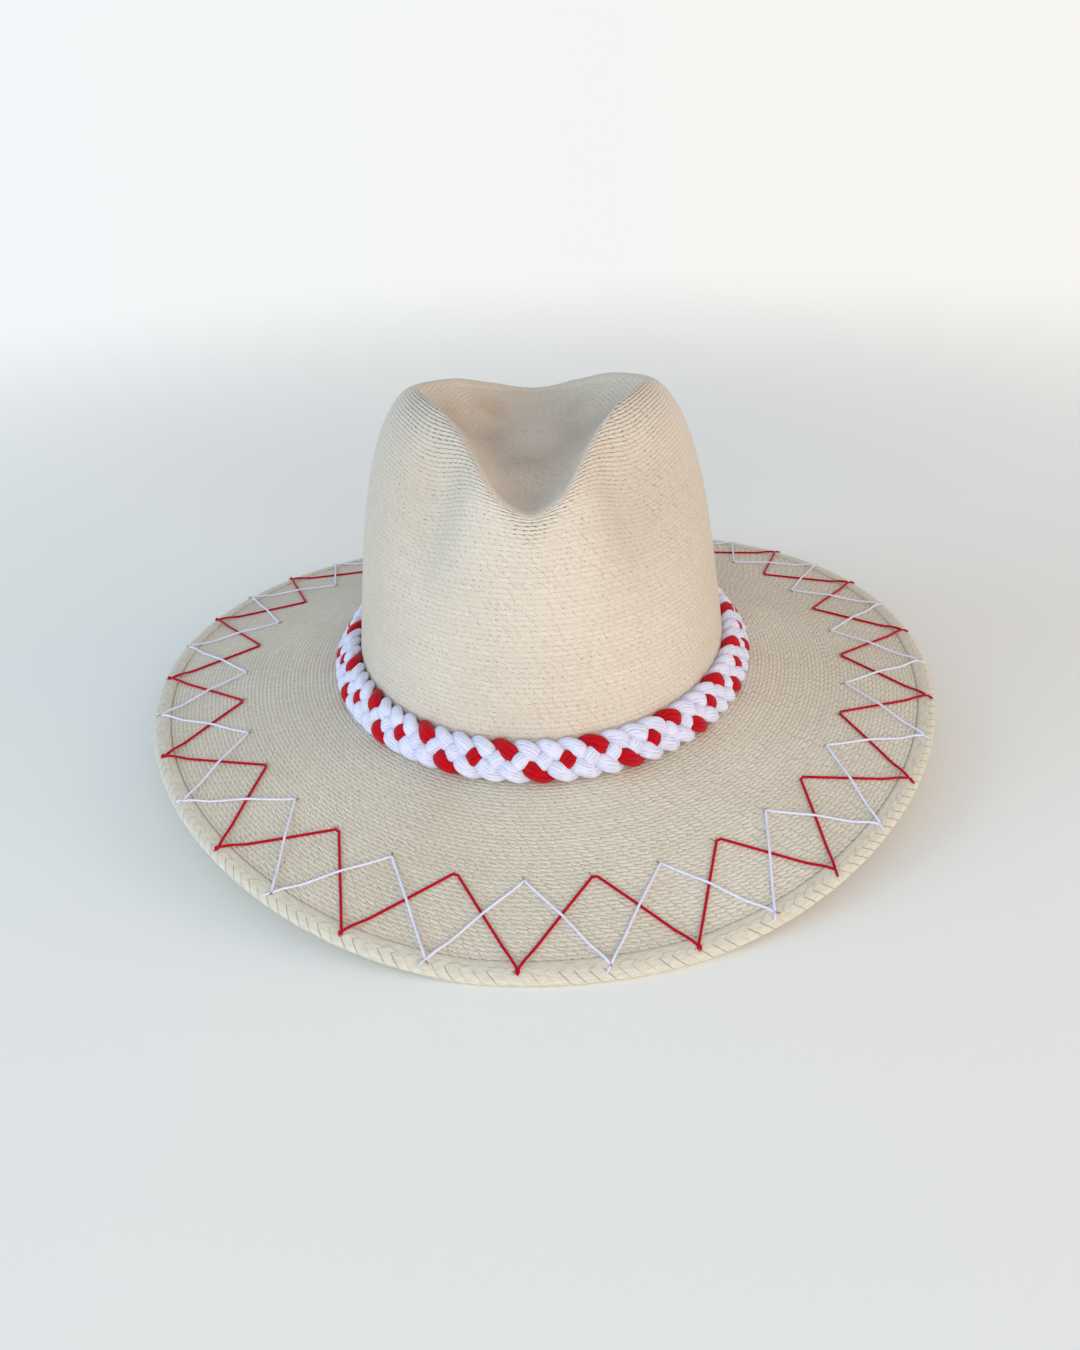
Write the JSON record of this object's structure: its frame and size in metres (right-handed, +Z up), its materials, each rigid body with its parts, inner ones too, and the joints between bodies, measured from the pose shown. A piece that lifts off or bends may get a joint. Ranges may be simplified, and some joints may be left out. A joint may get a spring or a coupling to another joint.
{
  "type": "palm leaf hat",
  "caption": "Palm leaf hat with a teardrop-dented crown, a wide softly curved brim, a plaited edge binding and a flat plaited cotton cord band.",
  "frame": {"origin": "on the surface that the hat rests on, below the middle of its outline", "axes": "+Z up, the front of the hat with the point of the dent towards -Y, +X towards the wearer's left"},
  "size_m": [0.3488, 0.39, 0.1515],
  "materials": {
    "palm_straw": "sewn rows of bleached palm braid, matt with a faint straw sheen",
    "binding_straw": "wide plait of bleached palm strips, smooth and slightly glossy",
    "white_cotton": "matt plied cotton yarn",
    "red_cotton": "matt plied cotton yarn, slightly fuzzy"
  },
  "bodies": {
    "root": {"crown": "palm_straw", "brim": "palm_straw", "edge_binding": "binding_straw", "band_cord_red": "red_cotton", "band_cord_white_1": "white_cotton", "band_cord_white_2": "white_cotton", "band_cord_white_3": "white_cotton"}
  },
  "joints": []
}
